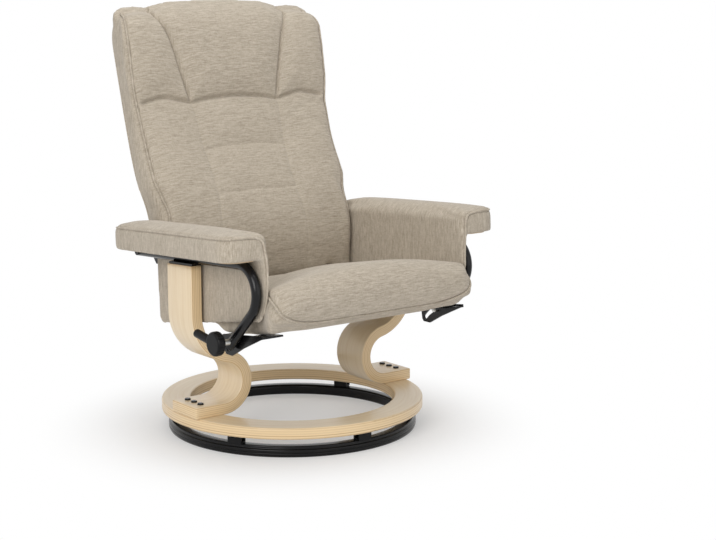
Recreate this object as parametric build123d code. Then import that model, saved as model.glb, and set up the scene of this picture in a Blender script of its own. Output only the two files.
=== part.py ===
import os
from math import atan2, cos, degrees, radians, sin, sqrt, tan

from build123d import *

# Swivel recliner, millimetres. +Z is up, the chair faces -Y, the sitter's right arm is at -X.
# The swivel axis is the Z axis and the floor is z = 0.

# Running and fixing clearances
running_clearance = 0.05
bolt_clearance = 0.05
guide_clearance = 0.3
side_clearance = 0.4

# How far cutting tools reach past what they cut
cut_overrun = 20.0
trim_width = 80.0
trim_length = 800.0
trim_height = 200.0
trim_allowance = 80.0

# Floor ring and the rollers it carries
floor_ring_inset = 15.5
floor_ring_width = 28.5
floor_ring_height = 25.0
floor_ring_rounding = 6.0
ring_gap = 20.0
roller_count = 6
roller_start_angle = -92.0
roller_radius = 8.0
roller_axle_radius = 2.5
roller_bracket_length = 34.0
roller_bracket_base = 4.0
roller_cheek = 4.0
roller_bracket_drop = 1.6

# Wooden swivel ring and the steel track let into its underside
ring_radius = 310.0
ring_width = 68.0
ring_thickness = 27.0
ring_rounding = 4.0
track_inset = 27.0
track_channel = 14.0
track_wall = 2.0
track_height = 5.0

# Bent laminated legs
leg_width = 102.0
leg_thickness = 27.0
leg_centre_y = -14.0
leg_offset = 7.5
leg_upper_bend = 105.5
leg_lower_bend = 60.0
leg_bulge_x = 160.0
leg_foot_overhang = 2.0
foot_bolt_inset = 25.0
foot_bolt_pitch = 27.0
foot_bolt_radius = 4.0
foot_bolt_head_radius = 7.0
foot_bolt_head_height = 4.0
foot_bolt_floor = 4.0

# Bent steel side tubes
tube_radius = 11.0
tube_wall = 2.0
tube_gap = 3.0
tube_height = 433.5
arm_tilt = 3.4
tube_rear_y = 195.0
tube_front_reach = 287.0
tube_bend = 59.0
tube_low_angle = 43.8
tube_low_length = 101.0
tube_low_tail = 19.0
leg_plate_thickness = 4.0
leg_plate_width = 28.0
tube_tab_length = 40.0
tube_tab_width = 24.0
tube_tab_rise = 1.0
tube_cap_flange = 2.0
tube_cap_depth = 12.0

# Arms
arm_width = 111.0
arm_gap = 5.0
arm_front_y = -299.0
arm_rear_y = 181.0
arm_pad_height = 60.0
arm_corner = 40.0
arm_inner_corner = 12.0
arm_top_rounding = 18.0
arm_board_thickness = 12.0
arm_board_inset = 12.0
panel_thickness = 12.0
panel_rear_top_y = 150.0
panel_rear_low_y = 136.0
panel_leg_drop = 45.4
panel_leg_reach = 114.0
panel_slope = 9.6
panel_front_low_y = -278.0
panel_front_y = -302.0
panel_front_drop = 41.5
panel_rounding = 18.0

# Seat, drawn level and then tilted up at the front
seat_tilt = 7.5
seat_origin_y = -100.0
seat_drop = 162.5
seat_half_width = 266.0
seat_front = -256.0
seat_rear = 178.0
seat_crown = 127.0
seat_rear_top = 106.0
seat_front_bend = 50.0
seat_belly_bend = 26.0
seat_lip = 19.0
seat_lip_height = 40.0
seat_lip_front = -236.0
seat_front_corner = 55.0
seat_rear_corner = 14.0
seat_frame_inset = 4.0
seat_frame_front = -212.0
seat_frame_rear = 170.0
seat_frame_top = 42.0
seat_frame_rail = 34.0
seat_frame_rail_height = 22.0
seat_frame_deep_end = 30.0
spring_wire = 2.0
spring_pitch = 30.0
spring_swing = 28.0
spring_spacing = 130.0
spring_level = 34.0
spring_bend = 11.0
spring_hook = 9.0
spring_margin = 40.0

# Back, whose outline is set by a few points on its rear face and on its front face
# Each point is (y, height above the side tubes)
back_inset = 2.0
back_flare = 13.0
back_shoulder_rise = 91.5
back_shoulder_slope = 36.0
back_top_rise = 558.5
back_shell_top_rise = 532.5
back_corner = 42.0
back_arch = 22.0
back_shell_thickness = 18.0
back_split_rise = 326.5
back_split_gap = 1.0
back_edge_rounding = 20.0
back_rear_bottom_at = (150.0, -88.5)
back_rear_arm_at = (204.0, 71.5)
back_rear_waist_at = (264.0, 244.5)
back_rear_head_at = (314.0, 416.5)
back_front_bottom_at = (103.0, -65.5)
back_front_arm_at = (108.0, 71.5)
back_front_waist_at = (166.0, 186.5)
back_front_high_at = (211.0, 290.5)
back_front_split_y = 222.0
head_front_low_at = (232.0, 366.5)
head_front_mid_at = (242.0, 424.5)
head_front_high_at = (256.0, 491.5)
head_crown_setback = 16.0
head_crown_reach = 22.0
head_crown_fall = 18.0

# Recline mechanism
recline_angle = 26.0
back_pivot_y = 180.0
back_pivot_radius = 4.0
hinge_y = 145.0
hinge_drop = 103.5
hinge_radius = 5.0
hinge_eye = 13.0
hinge_inset = 68.0
hinge_plate = 6.0
hinge_foot_width = 50.0
hinge_foot_depth = 4.0
hinge_arm_depth = 26.0
hinge_pin_end = 3.0
hinge_pin_head = 3.0
hinge_gap = 0.6
screw_radius = 5.0
bracket_thickness = 4.0
bracket_gap = 1.0
bracket_margin = 9.0
bracket_front = -288.0
bracket_rear = -138.0
bracket_edge = 3.0
front_tab_y = -160.0
front_tab_length = 60.0
rear_tab_y = -32.0
rear_tab_length = 24.0
back_bracket_thickness = 5.0
back_bracket_eye = 13.0
back_bracket_width = 16.0
back_bracket_low = 30.0
back_bracket_low_y = 30.0
back_bracket_high = 48.0
back_bracket_high_y = 5.0
pivot_collar = 3.0
wheel_radius = 27.0
wheel_thickness = 20.0
wheel_offset = 44.0
wheel_lobes = 10
wheel_lobe_depth = 1.6
grip_radius = 9.5
grip_length = 78.0
grip_angle = 8.0
sleeve_radius = 7.0
nut_radius = 9.0
nut_thickness = 8.0

# Widths and levels worked out from the sizes above
floor_ring_radius = ring_radius - floor_ring_inset
track_radius = ring_radius - track_inset
leg_foot_x = ring_radius + leg_foot_overhang
foot_bolt_x = ring_radius - foot_bolt_inset
seat_frame_half_width = seat_half_width - seat_frame_inset
arm_inner_x = seat_half_width + arm_gap
arm_outer_x = arm_inner_x + arm_width
tube_x = arm_inner_x + panel_thickness + tube_gap + tube_radius
leg_axis_x = tube_x + leg_offset
wheel_centre_x = tube_x + wheel_offset
back_low_half_width = seat_half_width - back_inset
back_half_width = back_low_half_width + back_flare
hinge_x = seat_half_width - hinge_inset
panel_front_z = tube_height - panel_front_drop
seat_origin_z = tube_height - seat_drop
hinge_z = tube_height - hinge_drop
back_shoulder_z = tube_height + back_shoulder_rise
back_top_z = tube_height + back_top_rise
back_shell_top_z = tube_height + back_shell_top_rise
back_split_z = tube_height + back_split_rise
ring_bottom = floor_ring_height + ring_gap
ring_top = ring_bottom + ring_thickness
track_top = ring_bottom + track_height
track_roof = track_top - track_wall
roller_height = track_roof - guide_clearance - roller_radius
foot_top = ring_top + leg_thickness


def above_tube(place):
    return (place[0], tube_height + place[1])


def yz_face(points):
    return make_face(Polyline(*points, close=True))


def across(face, x0, x1):
    return extrude(Plane.YZ.offset(x0) * face, x1 - x0)


def x_rod(radius, x0, x1, y, z):
    return Pos((x0 + x1) / 2, y, z) * Rot(0, 90, 0) * Cylinder(radius, abs(x1 - x0))


def turned(vector, angle):
    a = radians(angle)
    return (vector[0] * cos(a) + vector[1] * sin(a), -vector[0] * sin(a) + vector[1] * cos(a))


def other_side(shape):
    return mirror(shape, about=Plane.YZ)


parts = {}

# Floor ring with a flat underside
ring_mid = floor_ring_radius - floor_ring_width / 2
section = RectangleRounded(floor_ring_width, floor_ring_height, floor_ring_rounding)
section = Plane.XZ * (Pos(ring_mid, floor_ring_height / 2) * section)
parts["floor_ring"] = revolve(section, Axis.Z)

# Roller brackets: a base, two cheeks and the axle pressed through them
roller_width = track_channel - 2 * side_clearance
cheek_inner = track_radius - track_channel / 2
cheek_outer = track_radius + track_channel / 2
bracket_top = ring_bottom - roller_bracket_drop
cheek_height = bracket_top - floor_ring_height
base_width = track_channel + 2 * roller_cheek
base = Pos(track_radius, 0, floor_ring_height + roller_bracket_base / 2) * Box(
    base_width, roller_bracket_length, roller_bracket_base
)
cheek = Box(roller_cheek, roller_bracket_length, cheek_height)
cheek = fillet(cheek.edges().filter_by(Axis.X).group_by(Axis.Z)[-1], 5)
cheek_z = floor_ring_height + cheek_height / 2
bracket = base + Pos(cheek_inner - roller_cheek / 2, 0, cheek_z) * cheek
bracket += Pos(cheek_outer + roller_cheek / 2, 0, cheek_z) * cheek
axle_ends = (cheek_inner - roller_cheek, cheek_outer + roller_cheek)
bracket += x_rod(roller_axle_radius, axle_ends[0], axle_ends[1], 0, roller_height)
roller_ends = (track_radius - roller_width / 2, track_radius + roller_width / 2)
roller = x_rod(roller_radius, roller_ends[0], roller_ends[1], 0, roller_height)
roller = fillet(roller.edges(), 0.8)
bore = roller_axle_radius + running_clearance
roller -= x_rod(bore, roller_ends[0] - 1, roller_ends[1] + 1, 0, roller_height)
for i in range(roller_count):
    turn = Rot(0, 0, roller_start_angle + 360 / roller_count * i)
    parts[f"roller_bracket_{i + 1}"] = turn * bracket
    parts[f"roller_{i + 1}"] = turn * roller

# Wooden ring with the track groove below and the foot bolt holes above
ring_section = RectangleRounded(ring_width, ring_thickness, ring_rounding)
ring_section = Pos(ring_radius - ring_width / 2, ring_bottom + ring_thickness / 2) * ring_section
track_inner = cheek_inner - track_wall
track_outer = cheek_outer + track_wall
track_mid = (track_inner + track_outer) / 2
groove_width = track_outer - track_inner + 2 * bolt_clearance
groove = Pos(track_mid, ring_bottom + track_height / 2) * Rectangle(groove_width, track_height)
wood_ring = revolve(Plane.XZ * (ring_section - groove), Axis.Z)
channel = Rectangle(track_outer - track_inner, track_height)
channel = Pos(track_mid, ring_bottom + track_height / 2) * channel
channel -= Pos(track_radius, ring_bottom + (track_height - track_wall) / 2) * Rectangle(
    track_channel, track_height - track_wall
)
parts["track_ring"] = revolve(Plane.XZ * channel, Axis.Z)

# Leg strip: straight down, bend inwards, reverse bend, foot on the ring
half = leg_thickness / 2
upper_x = -leg_axis_x + leg_upper_bend
lower_x = -leg_bulge_x - leg_lower_bend - half
lower_z = ring_top + half + leg_lower_bend
upper_z = lower_z + sqrt((leg_upper_bend + leg_lower_bend) ** 2 - (upper_x - lower_x) ** 2)
swing = degrees(atan2(upper_z - lower_z, upper_x - lower_x))
leg_top = tube_height + trim_allowance
strip = Pos(-leg_axis_x, (leg_top + upper_z) / 2) * Rectangle(leg_thickness, leg_top - upper_z)
strip += Pos((lower_x - leg_foot_x) / 2, ring_top + half) * Rectangle(lower_x + leg_foot_x, leg_thickness)


def band(x, z, radius, start, sweep_angle):
    outer = CenterArc((x, z), radius + half, start, sweep_angle)
    inner = CenterArc((x, z), radius - half, start, sweep_angle)
    return make_face([outer, Line(outer @ 1, inner @ 1), inner, Line(inner @ 0, outer @ 0)])


strip += band(upper_x, upper_z, leg_upper_bend, 180, swing)
strip += band(lower_x, lower_z, leg_lower_bend, -90, 90 + swing)
leg = extrude(Plane.XZ.offset(-leg_centre_y - leg_width / 2) * strip, leg_width)
leg = leg.clean()
arm = Location((0, leg_centre_y, tube_height), (-arm_tilt, 0, 0))
plate_low = -tube_radius - leg_plate_thickness
trim_block = Box(trim_width, trim_length, trim_height)
leg -= arm * Pos(-leg_axis_x, 0, plate_low + trim_height / 2) * trim_block
foot_bolts = []
for k in (-1, 0, 1):
    bolt_y = leg_centre_y + k * foot_bolt_pitch
    foot_bolts.append(bolt_y)
    hole_height = foot_top + 1 - (track_top + foot_bolt_floor)
    hole_z = foot_top + 1 - hole_height / 2
    hole = Pos(-foot_bolt_x, bolt_y, hole_z) * Cylinder(foot_bolt_radius + bolt_clearance, hole_height)
    leg -= hole
    wood_ring -= hole
    wood_ring -= other_side(hole)
    shank_height = foot_top - (track_top + foot_bolt_floor)
    bolt = Pos(-foot_bolt_x, bolt_y, foot_top - shank_height / 2) * Cylinder(foot_bolt_radius, shank_height)
    head = Cylinder(foot_bolt_head_radius, foot_bolt_head_height)
    head = fillet(head.edges().group_by(Axis.Z)[-1], 1.8)
    bolt += Pos(-foot_bolt_x, bolt_y, foot_top + foot_bolt_head_height / 2) * head
    parts[f"foot_bolt_right_{k + 2}"] = bolt
    parts[f"foot_bolt_left_{k + 2}"] = other_side(bolt)
parts["wood_ring"] = wood_ring
parts["leg_right"] = leg
parts["leg_left"] = other_side(leg)

# Side tube path in its own upright plane
tilt = radians(arm_tilt)
low = radians(tube_low_angle)


def tube_line_z(y):
    return tube_height - (y - leg_centre_y) * tan(tilt)


bend_y = -tube_front_reach + tube_bend
bend_start = (bend_y + tube_bend * sin(tilt), 0)
bend_start = (bend_start[0], tube_line_z(bend_start[0]))
bend_z = bend_start[1] - tube_bend * cos(tilt)
bend_end = (bend_y - tube_bend * sin(low), bend_z - tube_bend * cos(low))
mid_angle = (radians(90) - tilt + radians(270) - low) / 2
bend_mid = (bend_y + tube_bend * cos(mid_angle), bend_z + tube_bend * sin(mid_angle))
pivot = (bend_end[0] + tube_low_length * cos(low), bend_end[1] - tube_low_length * sin(low))
tail = tube_low_length + tube_low_tail
tube_end = (bend_end[0] + tail * cos(low), bend_end[1] - tail * sin(low))
tube_start = (tube_rear_y, tube_line_z(tube_rear_y))


def at_tube(point):
    return (-tube_x, point[0], point[1])


path = Wire(
    [
        Line(at_tube(tube_start), at_tube(bend_start)),
        ThreePointArc(at_tube(bend_start), at_tube(bend_mid), at_tube(bend_end)),
        Line(at_tube(bend_end), at_tube(tube_end)),
    ]
)
mouth = Plane(origin=path @ 0, z_dir=path % 0)
tube = sweep(mouth * Circle(tube_radius), path=path)
tube_bore = sweep(mouth * Circle(tube_radius - tube_wall), path=path)
plate_top = -tube_radius + tube_wall * 0.6
plate = arm * Pos(-(tube_x + leg_axis_x) / 2, 0, (plate_low + plate_top) / 2) * Box(
    leg_plate_width, leg_width - 6, plate_top - plate_low
)
tab_top = tube_radius + tube_tab_rise
tab_low = tube_radius - tube_wall * 0.6
tab = Box(tube_tab_width, tube_tab_length, tab_top - tab_low)
tab_z = (tab_top + tab_low) / 2
tube += plate
tube += arm * Pos(-tube_x, -150, tab_z) * tab
tube += arm * Pos(-tube_x, 120, tab_z) * tab
tube -= tube_bore
back_pivot = (back_pivot_y, tube_line_z(back_pivot_y))
tube -= x_rod(screw_radius + running_clearance, -tube_x - cut_overrun, -tube_x + cut_overrun, *pivot)
tube -= x_rod(back_pivot_radius + bolt_clearance, -tube_x - cut_overrun, -tube_x + cut_overrun, *back_pivot)
parts["side_tube_right"] = tube
parts["side_tube_left"] = other_side(tube)


def tube_cap(plane, depth):
    plug = extrude(plane * Circle(tube_radius - tube_wall - bolt_clearance), depth)
    return plug + extrude(plane * Circle(tube_radius), -tube_cap_flange)


rear_cap = tube_cap(Plane(origin=path @ 0, z_dir=path % 0), back_pivot_radius + 1.5)
low_cap = tube_cap(Plane(origin=path @ 1, z_dir=-(path % 1)), tube_cap_depth)
parts["tube_cap_rear_right"] = rear_cap
parts["tube_cap_rear_left"] = other_side(rear_cap)
parts["tube_cap_low_right"] = low_cap
parts["tube_cap_low_left"] = other_side(low_cap)

# Arm: padded top with a board in its underside, and the upholstered inner panel below it
pad_low = tab_top
pad_top = pad_low + arm_pad_height
pad_front = (arm_front_y - leg_centre_y) / cos(tilt)
pad_rear = (arm_rear_y - leg_centre_y) / cos(tilt)
plan = make_face(
    Polyline(
        (-arm_outer_x, pad_front),
        (-arm_inner_x, pad_front),
        (-arm_inner_x, pad_rear),
        (-arm_outer_x, pad_rear),
        close=True,
    )
)
arm_mid_x = -(arm_outer_x + arm_inner_x) / 2
plan = fillet([v for v in plan.vertices() if v.X < arm_mid_x], arm_corner)
plan = fillet([v for v in plan.vertices() if v.X > arm_mid_x + 30], arm_inner_corner)
pad = Pos(0, 0, pad_low) * extrude(plan, arm_pad_height)
pad = fillet(pad.edges().group_by(Axis.Z)[-1], arm_top_rounding)
pad = fillet(pad.edges().group_by(Axis.Z)[0], 3)
board_width = arm_outer_x - arm_inner_x - 2 * arm_board_inset - panel_thickness
board_x = -(arm_inner_x + panel_thickness + arm_board_inset / 2 + board_width / 2)
board_length = pad_rear - pad_front - 2 * arm_board_inset
board_y = (pad_rear + pad_front) / 2
board = RectangleRounded(board_width, board_length, arm_corner - arm_board_inset)
pocket = RectangleRounded(
    board_width + 2 * bolt_clearance, board_length + 2 * bolt_clearance, arm_corner - arm_board_inset
)
pad -= Pos(board_x, board_y, pad_low - 1) * extrude(pocket, arm_board_thickness + 1)
board = Pos(board_x, board_y, pad_low) * extrude(board, arm_board_thickness)
parts["arm_pad_right"] = arm * pad
parts["arm_pad_left"] = other_side(arm * pad)
parts["arm_board_right"] = arm * board
parts["arm_board_left"] = other_side(arm * board)
panel_top_z = tube_height + trim_allowance
panel_fall = tan(radians(panel_slope))
panel_low_y = leg_centre_y + panel_leg_reach
panel_low_z = upper_z - panel_leg_drop
panel_face = yz_face(
    [
        (panel_rear_top_y, panel_top_z),
        (panel_rear_low_y, panel_low_z - (panel_rear_low_y - panel_low_y) * panel_fall),
        (panel_front_low_y, panel_low_z - (panel_front_low_y - panel_low_y) * panel_fall),
        (panel_front_y, panel_front_z),
        (panel_front_y, panel_top_z),
    ]
)
panel_face = fillet([v for v in panel_face.vertices() if v.Y < panel_front_z - 5], panel_rounding)
panel = across(panel_face, -arm_inner_x - panel_thickness, -arm_inner_x)
panel -= arm * Pos(-arm_inner_x, 0, pad_low + trim_height / 2) * trim_block
parts["arm_panel_right"] = panel
parts["arm_panel_left"] = other_side(panel)

# Seat frame, springs and cushion, drawn level and placed by one tilted location
seat = Location((0, seat_origin_y, seat_origin_z), (-seat_tilt, 0, 0))
rail_low = seat_frame_top - seat_frame_rail_height
frame_length = seat_frame_rear - seat_frame_front
frame_mid = (seat_frame_rear + seat_frame_front) / 2
frame_side = yz_face(
    [
        (seat_frame_front, seat_frame_top),
        (seat_frame_front, seat_lip),
        (seat_frame_front + seat_lip, 0),
        (seat_frame_deep_end - 36, 0),
        (seat_frame_deep_end, rail_low),
        (seat_frame_rear, rail_low),
        (seat_frame_rear, seat_frame_top),
    ]
)
frame = across(frame_side, -seat_frame_half_width, seat_frame_half_width)
opening = Pos(0, frame_mid, seat_frame_top / 2) * Box(
    2 * (seat_frame_half_width - seat_frame_rail), frame_length - 2 * seat_frame_rail, 2 * seat_frame_top
)
frame -= opening
front_inner = seat_frame_front + seat_frame_rail
rear_inner = seat_frame_rear - seat_frame_rail
bars = int((rear_inner - front_inner - spring_margin) / spring_pitch)
first_bar = front_inner + (rear_inner - front_inner - (bars - 1) * spring_pitch) / 2
spring_points = [(0, front_inner - spring_hook)]
for k in range(bars):
    bar_y = first_bar + k * spring_pitch
    side = 1 if k % 2 == 0 else -1
    spring_points.append((0 if k == 0 else -side * spring_swing, bar_y))
    spring_points.append((0 if k == bars - 1 else side * spring_swing, bar_y))
spring_points.append((0, rear_inner + spring_hook))
spring_path = FilletPolyline(*[(x, y, spring_level) for x, y in spring_points], radius=spring_bend)
spring_end = Plane(origin=spring_path @ 0, z_dir=spring_path % 0)
spring = sweep(spring_end * Circle(spring_wire), path=spring_path)
socket_length = frame_length - 2 * seat_frame_rail + 2 * spring_hook + spring_wire
socket = Rot(90, 0, 0) * Cylinder(spring_wire + bolt_clearance, socket_length)
socket = Pos(0, frame_mid, spring_level) * socket
for k in (-1, 0, 1):
    frame -= Pos(k * spring_spacing, 0, 0) * socket
    parts[f"seat_spring_{k + 2}"] = seat * Pos(k * spring_spacing, 0, 0) * spring
parts["seat_frame"] = seat * frame
lip_step = seat_frame_front - 0.5
cushion_side = yz_face(
    [
        (seat_rear, seat_frame_top),
        (lip_step, seat_frame_top),
        (lip_step, seat_lip),
        (seat_lip_front, seat_lip),
        (seat_front, seat_lip + seat_lip_height),
        (seat_front, seat_crown),
        (seat_rear, seat_rear_top),
    ]
)
cushion_side = fillet(cushion_side.vertices().sort_by(Axis.Y)[-1], seat_front_bend)
rear_top = [v for v in cushion_side.vertices() if v.X > seat_rear - 1 and v.Y > seat_rear_top - 1]
cushion_side = fillet(rear_top, seat_rear_corner)
belly = [v for v in cushion_side.vertices() if v.X < seat_front + 1 and v.Y < seat_lip + 41]
cushion_side = fillet(belly, seat_belly_bend)
cushion = across(cushion_side, -seat_half_width, seat_half_width)
seat_plan = make_face(
    Polyline(
        (-seat_half_width, seat_front),
        (seat_half_width, seat_front),
        (seat_half_width, seat_rear),
        (-seat_half_width, seat_rear),
        close=True,
    )
)
seat_plan = fillet([v for v in seat_plan.vertices() if v.Y < 0], seat_front_corner)
seat_plan = fillet([v for v in seat_plan.vertices() if v.Y > seat_rear - 1], seat_rear_corner)
cushion &= extrude(seat_plan, seat_crown + 10)
parts["seat_cushion"] = seat * cushion
front_reach = -parts["seat_cushion"].bounding_box().min.Y

# Back shell and its two cushions, cut from side profiles by one front outline
back_rear_bottom = above_tube(back_rear_bottom_at)
back_rear_arm = above_tube(back_rear_arm_at)
back_rear_waist = above_tube(back_rear_waist_at)
back_rear_head = above_tube(back_rear_head_at)
back_front_bottom = above_tube(back_front_bottom_at)
back_front_arm = above_tube(back_front_arm_at)
back_front_waist = above_tube(back_front_waist_at)
back_front_high = above_tube(back_front_high_at)
back_front_split = (back_front_split_y, back_split_z)
head_front_high = above_tube(head_front_high_at)
rear_top_point = (front_reach, back_shell_top_z)
rear_points = [back_rear_bottom, back_rear_arm, back_rear_waist, back_rear_head, rear_top_point]
shell_rear = Spline(*rear_points)
shell_front = Spline(*[(y - back_shell_thickness, z) for y, z in rear_points])
shell_side = make_face(
    [
        shell_rear,
        Line(shell_rear @ 1, shell_front @ 1),
        shell_front,
        Line(shell_front @ 0, shell_rear @ 0),
    ]
)


def back_outline(inset, top):
    side = back_half_width - inset
    low_side = back_low_half_width - inset
    shoulder = top - back_arch - back_corner
    right = [
        (low_side, back_rear_bottom[1] - 60),
        (low_side, back_shoulder_z),
        (side, back_shoulder_z + back_shoulder_slope),
        (side, shoulder),
    ]
    left = [(-x, z) for x, z in reversed(right)]
    corner_start = (side - back_corner, top - back_arch)
    curve = [Line(a, b) for a, b in zip(right, right[1:])]
    half_turn = radians(45)
    bulge = (side - back_corner * (1 - cos(half_turn)), shoulder + back_corner * sin(half_turn))
    curve.append(ThreePointArc(right[-1], bulge, corner_start))
    curve.append(ThreePointArc(corner_start, (0, top), (-corner_start[0], corner_start[1])))
    curve.append(ThreePointArc((-corner_start[0], corner_start[1]), (-bulge[0], bulge[1]), left[0]))
    curve += [Line(a, b) for a, b in zip(left, left[1:])]
    curve.append(Line(left[-1], right[0]))
    return extrude(Plane.XZ.offset(-500) * make_face(curve), 1000)


shell = across(shell_side, -back_half_width, back_half_width) & back_outline(0, back_shell_top_z)
cushion_gap = back_shell_thickness + guide_clearance
cushion_rear = Spline(*[(y - cushion_gap, z) for y, z in rear_points])


def rear_at(z):
    low_end, high_end = 0.0, 1.0
    for _ in range(40):
        middle = (low_end + high_end) / 2
        if (cushion_rear @ middle).Y < z:
            low_end = middle
        else:
            high_end = middle
    return low_end


def padded_side(front_points, z0, z1):
    t0 = rear_at(z0)
    t1 = rear_at(z1)
    rear = [cushion_rear @ (t0 + (t1 - t0) * k / 4) for k in range(5)]
    rear_edge = Spline(*rear)
    front_edge = Spline(*front_points)
    top = Line(rear_edge @ 1, front_edge @ 1)
    return make_face([rear_edge, top, front_edge, Line(front_edge @ 0, rear_edge @ 0)])


back_side = padded_side(
    [back_front_bottom, back_front_arm, back_front_waist, back_front_high, back_front_split],
    back_front_bottom[1],
    back_split_z,
)
back_pad = across(back_side, -back_half_width, back_half_width) & back_outline(0, back_top_z)
head_front = [
    (back_front_split_y, back_split_z + back_split_gap),
    above_tube(head_front_low_at),
    above_tube(head_front_mid_at),
    head_front_high,
]
head_top_t = rear_at(back_shell_top_z - 2)
head_rear_start = rear_at(back_split_z + back_split_gap)
head_rear_step = (head_top_t - head_rear_start) / 4
head_rear = Spline(*[cushion_rear @ (head_rear_start + head_rear_step * k) for k in range(5)])
head_face_edge = Spline(*head_front)
crown = (head_rear @ 1).X - head_crown_setback
crown_arc = ThreePointArc(
    head_front_high,
    (head_front_high[0] + head_crown_reach, back_top_z - head_crown_fall),
    (crown, back_top_z),
)
head_side = make_face(
    [
        head_rear,
        Line(head_rear @ 1, crown_arc @ 1),
        crown_arc,
        head_face_edge,
        Line(head_face_edge @ 0, head_rear @ 0),
    ]
)
head_pad = across(head_side, -back_half_width, back_half_width) & back_outline(0, back_top_z)


def soft_sides(pad):
    edges = []
    for edge in pad.edges():
        middle = edge.position_at(0.5)
        on_side = abs(middle.X) > back_low_half_width - 1
        if on_side and middle.Y < (cushion_rear @ rear_at(middle.Z)).X - 25:
            if abs(edge.position_at(0).Z - edge.position_at(1).Z) > 20:
                edges.append(edge)
    return fillet(edges, back_edge_rounding)


parts["back_cushion"] = soft_sides(back_pad)
parts["head_cushion"] = head_pad

# Hinge between the back and the seat: lugs on the shell, arms on the seat frame, a pin each side
lug_x = hinge_x - hinge_plate - hinge_gap
lug_face = yz_face(
    [
        (back_rear_bottom[0] - back_shell_thickness + 1, back_rear_bottom[1] + 1),
        (hinge_y - hinge_eye, hinge_z),
        (hinge_y + hinge_eye, hinge_z),
        (back_rear_bottom[0] - 0.5, back_rear_bottom[1] + 1),
    ]
)
lug_face += Pos(hinge_y, hinge_z) * Circle(hinge_eye)
lug = across(lug_face, -lug_x - hinge_plate, -lug_x)
lug -= x_rod(hinge_radius + bolt_clearance, -lug_x - cut_overrun, -lug_x + cut_overrun, hinge_y, hinge_z)
shell += lug
shell += other_side(lug)
parts["back_shell"] = shell
seat_sin = sin(radians(seat_tilt))
seat_cos = cos(radians(seat_tilt))
hinge_p = (hinge_y - seat_origin_y) * seat_cos - (hinge_z - seat_origin_z) * seat_sin
hinge_q = (hinge_y - seat_origin_y) * seat_sin + (hinge_z - seat_origin_z) * seat_cos
arm_face = yz_face(
    [
        (seat_frame_rear, rail_low),
        (seat_frame_rear + hinge_arm_depth, rail_low),
        (hinge_p + hinge_eye * 0.8, hinge_q - hinge_eye * 0.6),
        (hinge_p - hinge_eye * 0.8, hinge_q + hinge_eye * 0.6),
        (seat_rear + 8, seat_frame_top - 1),
        (seat_frame_rear, seat_frame_top - 1),
    ]
)
arm_face += Pos(hinge_p, hinge_q) * Circle(hinge_eye)
hinge_arm = across(arm_face, -hinge_x - hinge_plate, -hinge_x)
foot_y = seat_frame_rear + hinge_foot_depth / 2
foot_z = (rail_low + seat_frame_top) / 2
foot_plate = Box(hinge_foot_width, hinge_foot_depth, seat_frame_rail_height - 3)
hinge_arm += Pos(-hinge_x - hinge_plate / 2, foot_y, foot_z) * foot_plate
hinge_bore = hinge_radius + running_clearance
hinge_arm -= x_rod(hinge_bore, -hinge_x - cut_overrun, -hinge_x + cut_overrun, hinge_p, hinge_q)
parts["hinge_arm_right"] = seat * hinge_arm
parts["hinge_arm_left"] = other_side(seat * hinge_arm)
pin_start = -hinge_x - hinge_plate - hinge_pin_end
pin = x_rod(hinge_radius, pin_start, -lug_x + hinge_pin_end, hinge_y, hinge_z)
pin_head = -hinge_x - hinge_plate - hinge_gap
pin += x_rod(hinge_radius + hinge_pin_head, pin_head - hinge_pin_head - 0.4, pin_head, hinge_y, hinge_z)
parts["hinge_pin_right"] = pin
parts["hinge_pin_left"] = other_side(pin)

# Back brackets on the shell's sides and the shoulder bolts they turn on
bracket_x = -back_low_half_width
back_plate = yz_face(
    [
        (back_pivot[0] - back_bracket_low_y, back_pivot[1] - back_bracket_low),
        (back_pivot[0] - back_bracket_low_y + back_bracket_width, back_pivot[1] - back_bracket_low),
        (back_pivot[0] + back_bracket_eye, back_pivot[1]),
        (back_pivot[0] - back_bracket_high_y + back_bracket_width, back_pivot[1] + back_bracket_high),
        (back_pivot[0] - back_bracket_high_y, back_pivot[1] + back_bracket_high),
    ]
)
back_plate += Pos(*back_pivot) * Circle(back_bracket_eye)
back_bracket = across(back_plate, bracket_x - back_bracket_thickness, bracket_x)
pivot_bore = back_pivot_radius + running_clearance
back_bracket -= x_rod(pivot_bore, bracket_x - cut_overrun, bracket_x + cut_overrun, *back_pivot)
parts["back_bracket_right"] = back_bracket
parts["back_bracket_left"] = other_side(back_bracket)
bracket_outer = bracket_x - back_bracket_thickness
tube_inner = -tube_x + tube_radius
tube_outer = -tube_x - tube_radius
shoulder_bolt = x_rod(back_pivot_radius, tube_outer - 4, bracket_x - 0.5, *back_pivot)
collar_end = bracket_outer - side_clearance
shoulder_bolt += x_rod(back_pivot_radius + pivot_collar, tube_inner + 0.2, collar_end, *back_pivot)
shoulder_bolt += x_rod(back_pivot_radius + 3.5, tube_outer - 5, tube_outer - 0.2, *back_pivot)
parts["back_pivot_right"] = shoulder_bolt
parts["back_pivot_left"] = other_side(shoulder_bolt)

# Slotted seat brackets: the slot follows the arc that the seat travels while it keeps its tilt
swing_arm = (back_pivot[0] - hinge_y, back_pivot[1] - hinge_z)
slot_centre = (pivot[0] - swing_arm[0], pivot[1] - swing_arm[1])


def slot_point(angle):
    moved = turned(swing_arm, angle)
    return (slot_centre[0] + moved[0], slot_centre[1] + moved[1])


slot_play = 1.5
slot_middle = slot_point(recline_angle / 2)
slot_arc = ThreePointArc(slot_point(-slot_play), slot_middle, slot_point(recline_angle + slot_play))
slot = SlotArc(slot_arc, 2 * (screw_radius + guide_clearance))
slot_end = slot_point(recline_angle)


def seat_bottom(y):
    return seat_origin_z - (y - seat_origin_y) * tan(radians(seat_tilt))


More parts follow.
